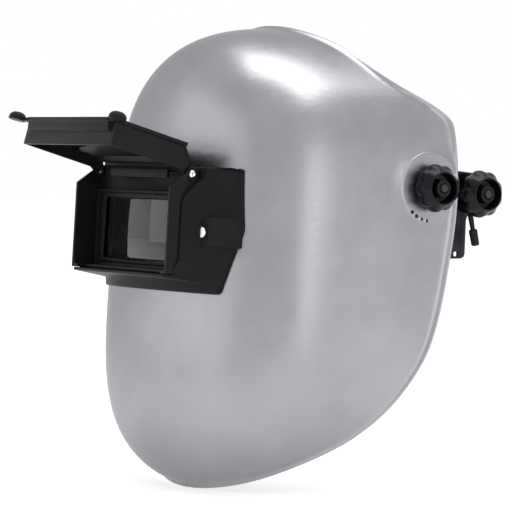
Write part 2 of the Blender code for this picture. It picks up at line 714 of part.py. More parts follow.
def lever_grip():
    """The moulded sleeve on the lever's end and the socket in it, open at the top for the arm."""
    _, end, along, across = lever_axes()
    top = end - along * 10.5
    low = end + along * 1.4
    mouth = top - along * 2.0
    bottom = end + along * 0.35
    corners = [top - across * 2.6, low - across * 2.2, low + across * 2.2, top + across * 2.6]
    socket = [mouth - across * 1.9, bottom - across * 1.25, bottom + across * 1.25, mouth + across * 1.9]
    outer = rounded([tuple(corner) for corner in corners], 0.9, 2)
    inner = [tuple(corner) for corner in socket]
    return plate("X", [outer], 111.4, 115.8), plate("X", [inner], 112.0, 115.2)


def bolt(start, shoulder, end, centre):
    """A carriage bolt along X: a domed head, then the shank."""
    core = 0.6
    profile = [
        (start, core), (start, 5.6), (start + 1.2, 7.8), (shoulder, 8.0), (shoulder, BOLT_RADIUS),
        (end - 0.6, BOLT_RADIUS), (end, BOLT_RADIUS - 0.5), (end, core),
    ]
    bm = bmesh.new()
    bm.from_mesh(turned(profile, 24, centre))
    inner = [v for v in bm.verts if math.hypot(v.co.y - centre[0], v.co.z - centre[1]) < core + 0.1]
    walls = [face for face in bm.faces if all(v in inner for v in face.verts)]
    bmesh.ops.delete(bm, geom=walls, context="FACES")
    for at in (start, end):
        close = [v for v in bm.verts if v in inner and abs(v.co.x - at) < 0.01]
        bmesh.ops.pointmerge(bm, verts=close, merge_co=(at, *centre))
    return mesh_of(bm, "bolt")


def adapter(side, word, finishes):
    """All pieces of the adapter on one side, drawn on the left and mirrored for the right."""
    rear = (REAR_PIVOT_Y, REAR_PIVOT_Z)

    def add(name, mesh, finish, *cutters):
        made = piece(f"{name}_{word}", mesh if side > 0 else mirrored(mesh), finishes[finish])
        for cutter in cutters:
            cut(made, cutter if side > 0 else mirrored(cutter))
        return made

    add("pivot_knob", lobed_knob(PIVOT_KNOB_X, (0.0, 0.0)), "black")
    add("pivot_washer", ring(119.1, 120.2, 11.0, BORE_RADIUS), "steel")
    add("stop_washer", stop_washer(), "black")
    add("stop_peg", stop_peg(), "black")
    add("friction_washer", ring(111.4, 112.6, 13.0, BORE_RADIUS), "rubber")
    add("mount_link", mount_link(), "black")
    knob_end = KNOB_HEIGHT + 0.4
    add("pivot_bolt", bolt(101.6, 104.8, PIVOT_KNOB_X + knob_end, (0.0, 0.0)), "steel")
    add("blade_washer", ring(104.0, 104.8, 12.0, BORE_RADIUS, rear), "rubber")
    add("blade", blade(), "blade")
    add("blade_bolt", bolt(98.2, 101.4, BLADE_KNOB_X + knob_end, rear), "steel")
    boss = ring(111.4, 115.7, 8.4, BORE_RADIUS + 0.7, rear)
    join(add("lever", lever(), "black"), boss if side > 0 else mirrored(boss))
    grip, socket = lever_grip()
    add("lever_grip", grip, "rubber", socket)
    add("blade_knob", lobed_knob(BLADE_KNOB_X, rear), "black")


# ---------------------------------------------------------------- whole helmet

def main():
    clear_scene()
    collection(PARTS)
    collection(CUTTERS)
    finishes = {
        "silver": material("silver_shell", (0.42, 0.42, 0.45), 0.32, 0.9),
        "black": material("black_plastic", (0.018, 0.018, 0.02), 0.5),
        "rubber": material("black_rubber", (0.012, 0.012, 0.012), 0.85),
        "steel": material("bright_steel", (0.75, 0.75, 0.75), 0.25, 1.0),
        "blade": material("black_blade", (0.015, 0.015, 0.018), 0.4),
        "glass": material("clear_glass", (0.6, 0.62, 0.62), 0.05),
        "filter": material("dark_filter", (0.02, 0.04, 0.02), 0.05),
    }
    shell(finishes["silver"])
    frame = empty("holder_frame", (0.0, HOLDER_Y, HOLDER_Z), tilt=-HOLDER_TILT)
    holder_bezel(frame, finishes["black"])
    lens_housing(frame, finishes["black"])
    housing_lens(frame, finishes)
    holder_screws(frame, finishes)
    hinge_pins(frame, finishes["steel"])
    lid_axis = empty("lid_axis", (0.0, HINGE_Y, HINGE_Z), frame, tilt=-LID_OPENING)
    lift_lid(lid_axis, finishes["black"])
    lid_lenses(lid_axis, finishes)
    for side, word in ((1, "left"), (-1, "right")):
        adapter(side, word, finishes)


main()
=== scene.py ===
import json
import math

import bmesh
import bpy
import numpy as np
from mathutils import Matrix, Vector

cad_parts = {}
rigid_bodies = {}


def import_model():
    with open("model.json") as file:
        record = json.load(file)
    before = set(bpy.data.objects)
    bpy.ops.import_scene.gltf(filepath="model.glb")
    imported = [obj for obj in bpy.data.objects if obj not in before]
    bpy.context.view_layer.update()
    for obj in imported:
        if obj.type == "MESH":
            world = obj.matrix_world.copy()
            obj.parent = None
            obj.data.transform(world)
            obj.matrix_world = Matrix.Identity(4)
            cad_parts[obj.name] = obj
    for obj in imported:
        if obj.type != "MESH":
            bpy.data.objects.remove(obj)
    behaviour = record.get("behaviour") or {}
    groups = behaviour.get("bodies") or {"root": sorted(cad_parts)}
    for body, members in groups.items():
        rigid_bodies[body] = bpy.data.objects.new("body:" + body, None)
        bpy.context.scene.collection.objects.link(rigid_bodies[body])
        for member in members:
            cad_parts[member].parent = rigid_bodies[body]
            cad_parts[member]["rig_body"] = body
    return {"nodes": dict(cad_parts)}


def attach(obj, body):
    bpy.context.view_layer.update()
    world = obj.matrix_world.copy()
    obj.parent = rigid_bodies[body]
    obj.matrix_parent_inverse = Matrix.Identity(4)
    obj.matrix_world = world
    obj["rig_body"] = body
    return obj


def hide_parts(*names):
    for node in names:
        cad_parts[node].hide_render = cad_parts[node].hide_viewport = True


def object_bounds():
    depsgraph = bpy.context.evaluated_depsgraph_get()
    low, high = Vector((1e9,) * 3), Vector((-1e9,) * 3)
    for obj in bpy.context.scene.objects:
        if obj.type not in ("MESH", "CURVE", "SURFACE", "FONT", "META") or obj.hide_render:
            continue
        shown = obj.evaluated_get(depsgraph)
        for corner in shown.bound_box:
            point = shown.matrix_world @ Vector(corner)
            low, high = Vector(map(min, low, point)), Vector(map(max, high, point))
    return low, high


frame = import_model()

bl_info = {
    "name": "Lift-front welding helmet",
    "version": (1, 0, 0),
    "blender": (4, 5, 0),
    "location": "3D View > Sidebar > Helmet",
    "description": "Builds a silver welding helmet with a flip-up lens holder round its packed frame",
    "category": "Object",
}

CAD_BOX = [list(corner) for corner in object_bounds()]
MM = 0.001

# The shield's form, as it is in the frame, in millimetres
SHELL_HALF_WIDTH = 118.6
SHELL_REACH_UP = 176.2
SHELL_REACH_DOWN = 158.1
SHELL_DEPTH = 120.0
SHELL_SQUARENESS = 4.5
SHELL_TOP_POWER = 4.0
SHELL_CHIN_POWER = 3.75
SHELL_CENTRE_Z = -61.4
SHELL_WALL_Y = -42.3
SHELL_RAKE = math.radians(4.84)
RIM_HEIGHTS = (-220.0, -200.0, -175.0, -145.0, -110.0, -65.0, -5.0, 43.0, 78.0, 100.0, 128.0)
RIM_DEPTHS = (-146.0, -102.0, -54.0, -22.0, 0.0, 12.7, 22.6, 24.5, -23.0, -43.0, -78.0)
STRAIGHT_WALL = 110.0
LIP_FLARE = 2.0
LIP_LENGTH = 3.4

# Pivots and adapters
PIVOT = (0.0, 0.0)
REAR_PIVOT = (42.4, -4.8)
PAD_X = 118.75
PAD_RADIUS = 24.6
BORE_RADIUS = 3.4
STOP_HOLE_REACH = 23.4
STOP_HOLE_RADIUS = 1.4
STOP_HOLE_ANGLES = (46.0, 57.5, 69.0, 80.5)
PIVOT_KNOB_X = 120.5
BLADE_KNOB_X = 116.0

# Lens holder, in a frame centred on the lens and tilted with it
HOLDER_PLACE = (0.0, -167.4, -29.2)
HOLDER_TILT = math.radians(-4.0)
HINGE_Y = -1.4
HINGE_Z = 39.8
LID_OPENING = math.radians(103.0)
STUD_PLACE = (71.0, -17.3, -71.5)       # about the hinge, with the lid closed
STUD_RADIUS = 6.6
SCREW_X = 81.5
NUT_Y = 33.6
POST_RADIUS = 6.5
SCREW_HOLE_RADIUS = 2.2
BOX_TOP_STRIP = ((-62.6, 62.6), (2.75, 4.05), (41.2, 48.0))   # closes the gap under the open lid

SIDES = ((1, "left"), (-1, "right"))


# ---------------------------------------------------------------- settings

class ShellSettings(bpy.types.PropertyGroup):
    wall: bpy.props.FloatProperty(
        name="Wall", description="Thickness of the shield, in millimetres", default=2.4, min=1.0, max=5.0)
    sides: bpy.props.IntProperty(
        name="Sides", description="Meridians round the shield", default=224, min=48, max=480)
    rings: bpy.props.IntProperty(
        name="Rings", description="Steps from the front of the shield to its rim",
        default=84, min=16, max=200)
    colour: bpy.props.FloatVectorProperty(
        name="Silver", description="Colour of the silver coat", subtype="COLOR",
        default=(0.300, 0.303, 0.318))
    inside: bpy.props.FloatVectorProperty(
        name="Inside", description="Colour of the inside", subtype="COLOR", default=(0.016, 0.0165, 0.018))
    roughness: bpy.props.FloatProperty(
        name="Roughness", description="How satin the silver coat is", default=0.34, min=0.05, max=1.0)


class HolderSettings(bpy.types.PropertyGroup):
    colour: bpy.props.FloatVectorProperty(
        name="Black", description="Colour of the moulded plastic", subtype="COLOR",
        default=(0.0065, 0.0062, 0.0070))
    roughness: bpy.props.FloatProperty(
        name="Roughness", description="How matt the moulded plastic is", default=0.48, min=0.05, max=1.0)
    edge: bpy.props.FloatProperty(
        name="Edge radius", description="Rounding of the moulded edges", unit="LENGTH",
        default=0.0006, min=0.0, max=0.003)
    filter_colour: bpy.props.FloatVectorProperty(
        name="Filter", description="Colour of the dark filter lens", subtype="COLOR",
        default=(0.004, 0.007, 0.005))
    window_colour: bpy.props.FloatVectorProperty(
        name="Window", description="Tint of the fixed lens", subtype="COLOR", default=(0.10, 0.11, 0.115))
    stud_ribs: bpy.props.IntProperty(
        name="Stud ribs", description="Grip ribs round each lid stud", default=12, min=4, max=30)


class AdapterSettings(bpy.types.PropertyGroup):
    knob_radius: bpy.props.FloatProperty(
        name="Knob radius", description="Radius over the lobes, in millimetres",
        default=17.1, min=10.0, max=17.25)
    knob_lobes: bpy.props.IntProperty(
        name="Lobes", description="Lobes round each knob", default=9, min=3, max=16)
    colour: bpy.props.FloatVectorProperty(
        name="Knob black", description="Colour of the knobs", subtype="COLOR", default=(0.004, 0.004, 0.006))
    blade_colour: bpy.props.FloatVectorProperty(
        name="Blade black", description="Colour of the coated blades", subtype="COLOR",
        default=(0.008, 0.008, 0.011))


class StageSettings(bpy.types.PropertyGroup):
    surround: bpy.props.FloatProperty(
        name="Surround", description="Brightness of the white studio", default=1.0, min=0.0, max=5.0)
    top_light: bpy.props.FloatProperty(
        name="Top light", description="Brightness of the overhead softbox", default=4.0, min=0.0, max=20.0)
    strip_light: bpy.props.FloatProperty(
        name="Strip light", description="Brightness of the upright strip softbox",
        default=1.6, min=0.0, max=20.0)
    side_light: bpy.props.FloatProperty(
        name="Side light", description="Brightness of the broad softbox", default=0.7, min=0.0, max=20.0)
    floor_colour: bpy.props.FloatVectorProperty(
        name="Floor", description="Colour of the floor", subtype="COLOR", default=(0.60, 0.60, 0.60))


def settings(name):
    return getattr(bpy.context.scene, "helmet_" + name)


# ---------------------------------------------------------------- finishes

class Finish:
    """A procedural material with one principled shader and small helpers for its nodes."""

    def __init__(self, name, colour, roughness, metallic=0.0):
        self.material = bpy.data.materials.new(name)
        self.material.use_nodes = True
        self.tree = self.material.node_tree
        self.shader = self.tree.nodes["Principled BSDF"]
        self.place = self.node("ShaderNodeTexCoord").outputs["Object"]
        self.set("Base Color", (*colour, 1.0))
        self.set("Roughness", roughness)
        self.set("Metallic", metallic)

    def node(self, kind, **values):
        made = self.tree.nodes.new(kind)
        for key, value in values.items():
            setattr(made, key, value)
        return made

    def set(self, socket, value):
        self.shader.inputs[socket].default_value = value

    def link(self, start, end):
        self.tree.links.new(start, end)

    def noise(self, scale, stretch=(1.0, 1.0, 1.0), detail=3.0, rough=0.55):
        """Noise with a scale per metre, stretched along an axis by a value below one."""
        mapping = self.node("ShaderNodeMapping")
        mapping.inputs["Scale"].default_value = stretch
        self.link(self.place, mapping.inputs["Vector"])
        noise = self.node("ShaderNodeTexNoise")
        noise.inputs["Scale"].default_value = scale
        noise.inputs["Detail"].default_value = detail
        noise.inputs["Roughness"].default_value = rough
        self.link(mapping.outputs["Vector"], noise.inputs["Vector"])
        return noise.outputs["Fac"]

    def span(self, value, low, high, start=0.3, end=0.7):
        """The value's range from start to end, spread over low to high."""
        step = self.node("ShaderNodeMapRange")
        for socket, number in (("From Min", start), ("From Max", end), ("To Min", low), ("To Max", high)):
            step.inputs[socket].default_value = number
        self.link(value, step.inputs["Value"])
        return step.outputs["Result"]

    def ramp(self, value, stops):
        """Colours along a value."""
        ramp = self.node("ShaderNodeValToRGB")
        elements = ramp.color_ramp.elements
        while len(elements) < len(stops):
            elements.new(1.0)
        for element, (at, colour) in zip(elements, stops):
            element.position = at
            element.color = (*colour, 1.0)
        self.link(value, ramp.inputs["Fac"])
        return ramp.outputs["Color"]

    def maths(self, operation, first, second):
        step = self.node("ShaderNodeMath", operation=operation)
        for socket, value in zip(step.inputs, (first, second)):
            if isinstance(value, (int, float)):
                socket.default_value = value
            else:
                self.link(value, socket)
        return step.outputs["Value"]

    def bump(self, height, distance, strength=1.0, below=None):
        step = self.node("ShaderNodeBump")
        step.inputs["Strength"].default_value = strength
        step.inputs["Distance"].default_value = distance
        self.link(height, step.inputs["Height"])
        if below is not None:
            self.link(below, step.inputs["Normal"])
        return step.outputs["Normal"]

    def tint(self, colour, spread, value):
        """Drives the base colour between two shades of one colour."""
        dark = [max(c * (1.0 - spread), 0.0) for c in colour]
        light = [min(c * (1.0 + spread), 1.0) for c in colour]
        self.link(self.ramp(value, ((0.3, dark), (0.7, light))), self.shader.inputs["Base Color"])


def silver_coat(colour, roughness):
    """Satin aluminium-coloured coat: flake, faint spray mottle, soft horizontal brushing and a soft waviness."""
    finish = Finish("silver_coat", colour, roughness, metallic=1.0)
    finish.set("Specular Tint", (0.72, 0.72, 0.74, 1.0))
    mottle = finish.noise(22.0, detail=4.0)
    finish.tint(colour, 0.07, mottle)
    grain = finish.noise(900.0, (0.55, 0.55, 1.0), detail=2.0)
    brushed = finish.noise(260.0, (0.35, 0.35, 1.6), detail=3.0)
    uneven = finish.maths("ADD", finish.span(mottle, -0.035, 0.035), finish.span(grain, -0.05, 0.05))
    finish.link(finish.maths("ADD", uneven, roughness), finish.shader.inputs["Roughness"])
    height = finish.maths("ADD", finish.maths("MULTIPLY", grain, 0.5), brushed)
    soft = finish.bump(finish.noise(12.0, (1.0, 1.0, 0.45), detail=1.0), 0.0007)
    finish.link(finish.bump(height, 0.00010, 0.55, soft), finish.shader.inputs["Normal"])
    return finish.material


def dark_inside(colour):
    """Matt charcoal inside of the shield, so that it throws back no glare."""
    finish = Finish("dark_inside", colour, 0.68)
    finish.set("Specular IOR Level", 0.3)
    finish.tint(colour, 0.2, finish.noise(60.0))
    finish.link(finish.bump(finish.noise(700.0), 0.00012, 0.6), finish.shader.inputs["Normal"])
    return finish.material


def moulded_black(name, colour, roughness, gloss, texture=1500.0, depth=0.00005):
    """Black moulded plastic with a fine spark-eroded texture and slightly uneven sheen."""
    finish = Finish(name, colour, roughness)
    finish.set("Specular IOR Level", gloss)
    cloud = finish.noise(35.0, detail=3.0)
    finish.tint(colour, 0.16, cloud)
    fine = finish.noise(texture, detail=2.0)
    finish.link(finish.span(cloud, roughness - 0.05, roughness + 0.05), finish.shader.inputs["Roughness"])
    finish.link(finish.bump(fine, depth, 0.6), finish.shader.inputs["Normal"])
    return finish.material


def bright_steel():
    """Plated steel with fine turning marks and a little tarnish."""
    finish = Finish("bright_steel", (0.80, 0.80, 0.79), 0.2, metallic=1.0)
    cloud = finish.noise(400.0, detail=3.0)
    finish.tint((0.78, 0.78, 0.77), 0.08, cloud)
    finish.link(finish.span(cloud, 0.14, 0.28), finish.shader.inputs["Roughness"])
    finish.link(finish.bump(finish.noise(2500.0), 0.00002, 0.5), finish.shader.inputs["Normal"])
    return finish.material


def black_steel():
    """Blackened bolt steel."""
    finish = Finish("black_steel", (0.03, 0.03, 0.033), 0.34, metallic=0.6)
    cloud = finish.noise(300.0, detail=3.0)
    finish.tint((0.03, 0.03, 0.033), 0.25, cloud)
    finish.link(finish.span(cloud, 0.28, 0.42), finish.shader.inputs["Roughness"])
    return finish.material


def soft_rubber():
    """Dull black rubber."""
    finish = Finish("soft_rubber", (0.010, 0.010, 0.010), 0.85)
    finish.set("Specular IOR Level", 0.25)
    finish.tint((0.010, 0.010, 0.010), 0.3, finish.noise(90.0))
    finish.link(finish.bump(finish.noise(1100.0), 0.00010, 0.7), finish.shader.inputs["Normal"])
    return finish.material


def clear_glass(name, colour):
    """Polished glass, faintly hazed by wiping."""
    finish = Finish(name, colour, 0.02)
    finish.set("Transmission Weight", 1.0)
    finish.set("IOR", 1.52)
    haze = finish.noise(45.0, (1.0, 1.0, 0.3), detail=3.0)
    finish.link(finish.span(haze, 0.012, 0.045), finish.shader.inputs["Roughness"])
    return finish.material


def dark_filter(colour):
    """Dark filter glass: nearly black, with a polished face."""
    finish = Finish("dark_filter", colour, 0.03)
    finish.set("Specular IOR Level", 0.62)
    haze = finish.noise(50.0, (1.0, 1.0, 0.3), detail=3.0)
    finish.tint(colour, 0.15, haze)
    finish.link(finish.span(haze, 0.02, 0.05), finish.shader.inputs["Roughness"])
    return finish.material


def studio_floor(colour):
    """Matt white floor paper with a barely visible fibre."""
    finish = Finish("studio_floor", colour, 0.9)
    finish.set("Specular IOR Level", 0.0)
    finish.set("Emission Color", (1.0, 1.0, 1.0, 1.0))
    finish.set("Emission Strength", 0.6)
    finish.tint(colour, 0.01, finish.noise(8.0))
    return finish.material


FINISHES = {}


def finish(name):
    """The material of one finish, made the first time that it is asked for."""
    if name not in FINISHES:
        shell, holder, adapter = settings("shell"), settings("holder"), settings("adapter")
        makers = {
            "silver": lambda: silver_coat(tuple(shell.colour), shell.roughness),
            "inside": lambda: dark_inside(tuple(shell.inside)),
            "holder": lambda: moulded_black("holder_black", tuple(holder.colour), holder.roughness, 0.11),
            "lid": lambda: moulded_black("lid_black", tuple(holder.colour), holder.roughness - 0.04, 0.12),
            "knob": lambda: moulded_black("knob_black", tuple(adapter.colour), 0.26, 0.17, 1100.0, 0.00003),
            "blade": lambda: moulded_black(
                "blade_black", tuple(adapter.blade_colour), 0.40, 0.22, 900.0, 0.00004),
            "steel": bright_steel,
            "bolt": black_steel,
            "rubber": soft_rubber,
            "glass": lambda: clear_glass("clear_glass", (0.93, 0.95, 0.95)),
            "window": lambda: clear_glass("window_glass", tuple(holder.window_colour)),
            "filter": lambda: dark_filter(tuple(holder.filter_colour)),
            "floor": lambda: studio_floor(tuple(settings("stage").floor_colour)),
        }
        FINISHES[name] = makers[name]()
    return FINISHES[name]


# ---------------------------------------------------------------- mesh helpers

def add_object(name, mesh):
    made = bpy.data.objects.new(name, mesh)
    bpy.context.scene.collection.objects.link(made)
    return made


def to_mesh(bm, name="mesh"):
    bmesh.ops.recalc_face_normals(bm, faces=bm.faces)
    if bm.calc_volume(signed=True) < 0:
        bmesh.ops.reverse_faces(bm, faces=bm.faces)
    mesh = bpy.data.meshes.new(name)
    bm.to_mesh(mesh)
    bm.free()
    return mesh


def rod(radius, start, end, centre=(0.0, 0.0), axis="X", sides=48):
    """A cylinder along one axis; centre holds the other two coordinates."""
    turn = {"X": Matrix.Rotation(math.radians(90), 4, "Y"), "Y": Matrix.Rotation(math.radians(-90), 4, "X")}
    bm = bmesh.new()
    bmesh.ops.create_cone(
        bm, cap_ends=True, segments=sides, radius1=radius, radius2=radius, depth=end - start)
    middle = list(centre)
    middle.insert("XYZ".index(axis), (start + end) / 2)
    bmesh.ops.transform(bm, matrix=Matrix.Translation(middle) @ turn[axis], verts=bm.verts)
    return to_mesh(bm)


def block(x, y, z):
    """A box between the two values given for each axis."""
    bm = bmesh.new()
    bmesh.ops.create_cube(bm, size=1.0)
    bmesh.ops.scale(bm, vec=[span[1] - span[0] for span in (x, y, z)], verts=bm.verts)
    bmesh.ops.translate(bm, vec=[(span[0] + span[1]) / 2 for span in (x, y, z)], verts=bm.verts)
    return to_mesh(bm)


def smoothed(profile, radius, steps=4):
    """An open profile with each inner corner rounded off."""
    points = [profile[0]]
    for before, here, after in zip(profile, profile[1:], profile[2:]):
        a, b, c = Vector(before), Vector(here), Vector(after)
        cut = min(radius, (a - b).length * 0.45, (c - b).length * 0.45)
        start = b + (a - b).normalized() * cut
        end = b + (c - b).normalized() * cut
        for step in range(steps + 1):
            t = step / steps
            points.append(tuple(start.lerp(b, t).lerp(b.lerp(end, t), t)))
    points.append(profile[-1])
    return points


def turned(profile, steps, centre=(0.0, 0.0), wave=None):
    """A profile of (distance along X, radius) turned about X; a radius of zero closes to a point."""
    bm = bmesh.new()
    rows = []
    for along, radius in profile:
        if radius < 1e-6:
            rows.append([bm.verts.new((along, *centre))])
            continue
        row = []
        for index in range(steps):
            angle = 2 * math.pi * index / steps
            reach = radius if wave is None else wave(angle, along, radius)
            row.append(bm.verts.new((
                along, centre[0] + reach * math.cos(angle), centre[1] + reach * math.sin(angle))))
        rows.append(row)
    closed = profile[0] == profile[-1]
    if closed:
        for vert in rows.pop():
            bm.verts.remove(vert)
        rows.append(rows[0])
    for low, high in zip(rows, rows[1:]):
        for index in range(steps):
            other = (index + 1) % steps
            corners = [low[index % len(low)], low[other % len(low)]]
            corners += [high[other % len(high)], high[index % len(high)]]
            bm.faces.new(list(dict.fromkeys(corners)))
    return to_mesh(bm)


def mirrored(mesh):
    mesh.transform(Matrix.Scale(-1, 4, (1, 0, 0)))
    mesh.flip_normals()
    return mesh


def holder_matrix():
    return Matrix.Translation(HOLDER_PLACE) @ Matrix.Rotation(HOLDER_TILT, 4, "X")


def lid_matrix():
    """From the closed lid's own frame, about its hinge, to the open rest pose."""
    hinge = Matrix.Translation((0.0, HINGE_Y, HINGE_Z))
    return holder_matrix() @ hinge @ Matrix.Rotation(-LID_OPENING, 4, "X")


def dress(mesh, name, finish_name, body, nodes=(), smooth=35.0):
    """Makes a piece from a mesh in millimetres, gives it its finish, and lets it ride on its body."""
    mesh.transform(Matrix.Scale(MM, 4))
    made = add_object(name, mesh)
    settle(made, finish_name, body, nodes, smooth)
    return made


def settle(made, finish_name, body, nodes=(), smooth=35.0):
    made.data.materials.clear()
    made.data.materials.append(finish(finish_name))
    made.data.shade_smooth()
    made.data.set_sharp_from_angle(angle=math.radians(smooth))
    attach(made, body)
    if nodes:
        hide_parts(*nodes)


def bake_modifiers(made):
    """Replaces the object's mesh with the result of its modifiers."""
    shaped = made.evaluated_get(bpy.context.evaluated_depsgraph_get())
    mesh = bpy.data.meshes.new_from_object(shaped)
    made.modifiers.clear()
    made.data = mesh


def boolean(made, mesh, operation):
    """Cuts away or joins on one mesh, in the object's own units."""
    tool = add_object("tool", mesh)
    step = made.modifiers.new("shape", "BOOLEAN")
    step.operation = operation
    step.object = tool
    step.solver = "EXACT"
    bake_modifiers(made)
    bpy.data.objects.remove(tool, do_unlink=True)


def refined(node, name, finish_name, body, edge, merge=2e-5, flat=1.2, segments=3):
    """A finished copy of a frame node, with its flat faces merged and its edges rounded."""
    bm = bmesh.new()
    bm.from_mesh(frame["nodes"][node].data)
    bmesh.ops.remove_doubles(bm, verts=bm.verts, dist=merge)
    bmesh.ops.dissolve_limit(bm, angle_limit=math.radians(flat), verts=bm.verts, edges=bm.edges)
    bmesh.ops.dissolve_degenerate(bm, dist=merge, edges=bm.edges)
    mesh = to_mesh(bm, name)
    made = add_object(name, mesh)
    if edge > 0:
        step = made.modifiers.new("edges", "BEVEL")
        step.width = edge
        step.segments = segments
        step.limit_method = "ANGLE"
        step.angle_limit = math.radians(32)
        step.use_clamp_overlap = False
        step.miter_outer = "MITER_ARC"
        bake_modifiers(made)
    settle(made, finish_name, body, (node,), 40.0)
    return made


# ---------------------------------------------------------------- shield

def rim_depth(height):
    """The rim's Y at one height: a monotone cubic through the rim's points."""
    z = np.array(RIM_HEIGHTS)
    y = np.array(RIM_DEPTHS)
    slope = np.diff(y) / np.diff(z)
    inner = np.where(
        slope[:-1] * slope[1:] > 0, 2 * slope[:-1] * slope[1:] / (slope[:-1] + slope[1:] + 1e-9), 0.0)
    tangent = np.concatenate([[slope[0]], inner, [slope[-1]]])
    at = np.clip(height, z[0], z[-1])
    k = np.clip(np.searchsorted(z, at) - 1, 0, len(z) - 2)
    width = z[k + 1] - z[k]
    t = (at - z[k]) / width
    return (
        (1 + 2 * t) * (1 - t) ** 2 * y[k] + t * (1 - t) ** 2 * width * tangent[k]
        + t * t * (3 - 2 * t) * y[k + 1] + t * t * (t - 1) * width * tangent[k + 1]
    )


def shield_meridian(angle):
    """Points from the front centre to the rim at one angle round the shield, and the way out there."""
    across, upward = math.cos(angle), math.sin(angle)
    reach_limit = SHELL_REACH_UP if upward > 0 else SHELL_REACH_DOWN
    power = SHELL_TOP_POWER if upward > 0 else SHELL_CHIN_POWER
    turn = np.linspace(0.0, math.pi / 2, 220)
    level = 1 - np.cos(turn) ** SHELL_SQUARENESS
    low, high = np.zeros_like(level), np.full_like(level, 400.0)
    for _ in range(40):
        reach = (low + high) / 2
        size = (abs(across) * reach / SHELL_HALF_WIDTH) ** 2 + (abs(upward) * reach / reach_limit) ** power
        low = np.where(size < level, reach, low)
        high = np.where(size < level, high, reach)
    x, z = reach * across, reach * upward
    y = SHELL_WALL_Y - SHELL_DEPTH * np.cos(turn) + math.tan(SHELL_RAKE) * z
    points = np.stack([x, y, z + SHELL_CENTRE_Z], axis=1)
    straight = points[-1] + np.outer(np.linspace(0.0, STRAIGHT_WALL, 120)[1:], (0.0, 1.0, 0.0))
    points = np.concatenate([points, straight])
    end = rim_depth(points[:, 2])
    last = int(np.argmax(points[:, 1] > end))
    before, after = points[last - 1], points[last]
    share = (end[last - 1] - before[1]) / ((after[1] - before[1]) - (end[last] - end[last - 1]))
    points = np.concatenate([points[:last], [before + share * (after - before)]])
    tip = points[-1]
    out = np.array([
        2 * tip[0] / SHELL_HALF_WIDTH ** 2, 0.0,
        power * math.copysign(abs(tip[2] - SHELL_CENTRE_Z) ** (power - 1) / reach_limit ** power, upward),
    ])
    return points, out / np.linalg.norm(out)


def eased(value, start, end):
    """Nought before start and one after end, with a smooth rise between."""
    t = np.clip((value - start) / (end - start), 0.0, 1.0)
    return t * t * (3 - 2 * t)


def shield_points(sides, rings):
    """Rows of points, one for each meridian, with the rolled lip and the raised pivot pads."""
    rows = []
    for side in range(sides):
        points, out = shield_meridian(2 * math.pi * (side + 0.5) / sides)
        length = np.concatenate([[0.0], np.cumsum(np.linalg.norm(np.diff(points, axis=0), axis=1))])
        even = np.linspace(0.0, 1.0, rings + 1)[1:] * (length[-1] - LIP_LENGTH)
        lip = length[-1] - LIP_LENGTH * np.array([0.66, 0.33, 0.0])
        at = np.concatenate([even, lip])
        row = np.stack([np.interp(at, length, points[:, i]) for i in range(3)], axis=1)
        flare = LIP_FLARE * eased(at, length[-1] - LIP_LENGTH - 1.5, length[-1])
        rows.append(row + np.outer(flare, out))
    rows = np.array(rows)
    beside = np.hypot(rows[..., 1] - PIVOT[0], rows[..., 2] - PIVOT[1])
    raised = (1.0 - eased(beside, PAD_RADIUS - 2.0, PAD_RADIUS + 9.0)) * (np.abs(rows[..., 0]) > 90.0)
    target = np.copysign(PAD_X - 0.35, rows[..., 0])
    grow = np.maximum((np.abs(target) - np.abs(rows[..., 0])), 0.0) * np.sign(rows[..., 0])
    rows[..., 0] += grow * raised
    return rows


def shield_surface(sides, rings):
    rows = shield_points(sides, rings)
    bm = bmesh.new()
    pole = bm.verts.new((0.0, SHELL_WALL_Y - SHELL_DEPTH, SHELL_CENTRE_Z))
    fans = [[bm.verts.new(point) for point in row] for row in rows]
    for side, row in enumerate(fans):
        other = fans[(side + 1) % sides]
        bm.faces.new((pole, row[0], other[0]))
        for index in range(len(row) - 1):
            bm.faces.new((row[index], row[index + 1], other[index + 1], other[index]))
    bmesh.ops.recalc_face_normals(bm, faces=bm.faces)
    bm.faces.ensure_lookup_table()
    front = min(bm.faces, key=lambda face: face.calc_center_median().y)
    if front.normal.y > 0:
        bmesh.ops.reverse_faces(bm, faces=bm.faces)
    mesh = bpy.data.meshes.new("shield")
    bm.to_mesh(mesh)
    bm.free()
    return mesh


def pivot_pad():
    """The flat round pad, a little proud of the wall, that the pivot knob turns against."""
    face = PAD_X - 0.22
    profile = [
        (PAD_X - 3.2, 0.0), (PAD_X - 3.2, PAD_RADIUS + 1.4), (face - 0.3, PAD_RADIUS + 1.4),
        (face, PAD_RADIUS - 0.4), (face, 13.4), (PAD_X, 12.6), (PAD_X, 0.0),
    ]
    return turned(smoothed(profile, 0.8, 4), 96)


def stop_hole_centre(angle):
    turn = math.radians(angle)
    return (-STOP_HOLE_REACH * math.cos(turn), -STOP_HOLE_REACH * math.sin(turn))


def lens_opening():
    """The rounded opening in the shield behind the lens."""
    bm = bmesh.new()
    bmesh.ops.create_cube(bm, size=1.0)
    bmesh.ops.scale(bm, vec=(104.0, 65.0, 56.0), verts=bm.verts)
    bmesh.ops.translate(bm, vec=(0.0, -142.5, HOLDER_PLACE[2]), verts=bm.verts)
    upright = [edge for edge in bm.edges if abs(edge.verts[0].co.y - edge.verts[1].co.y) > 1.0]
    bmesh.ops.bevel(bm, geom=upright, offset=6.0, segments=6, affect="EDGES")
    return to_mesh(bm)


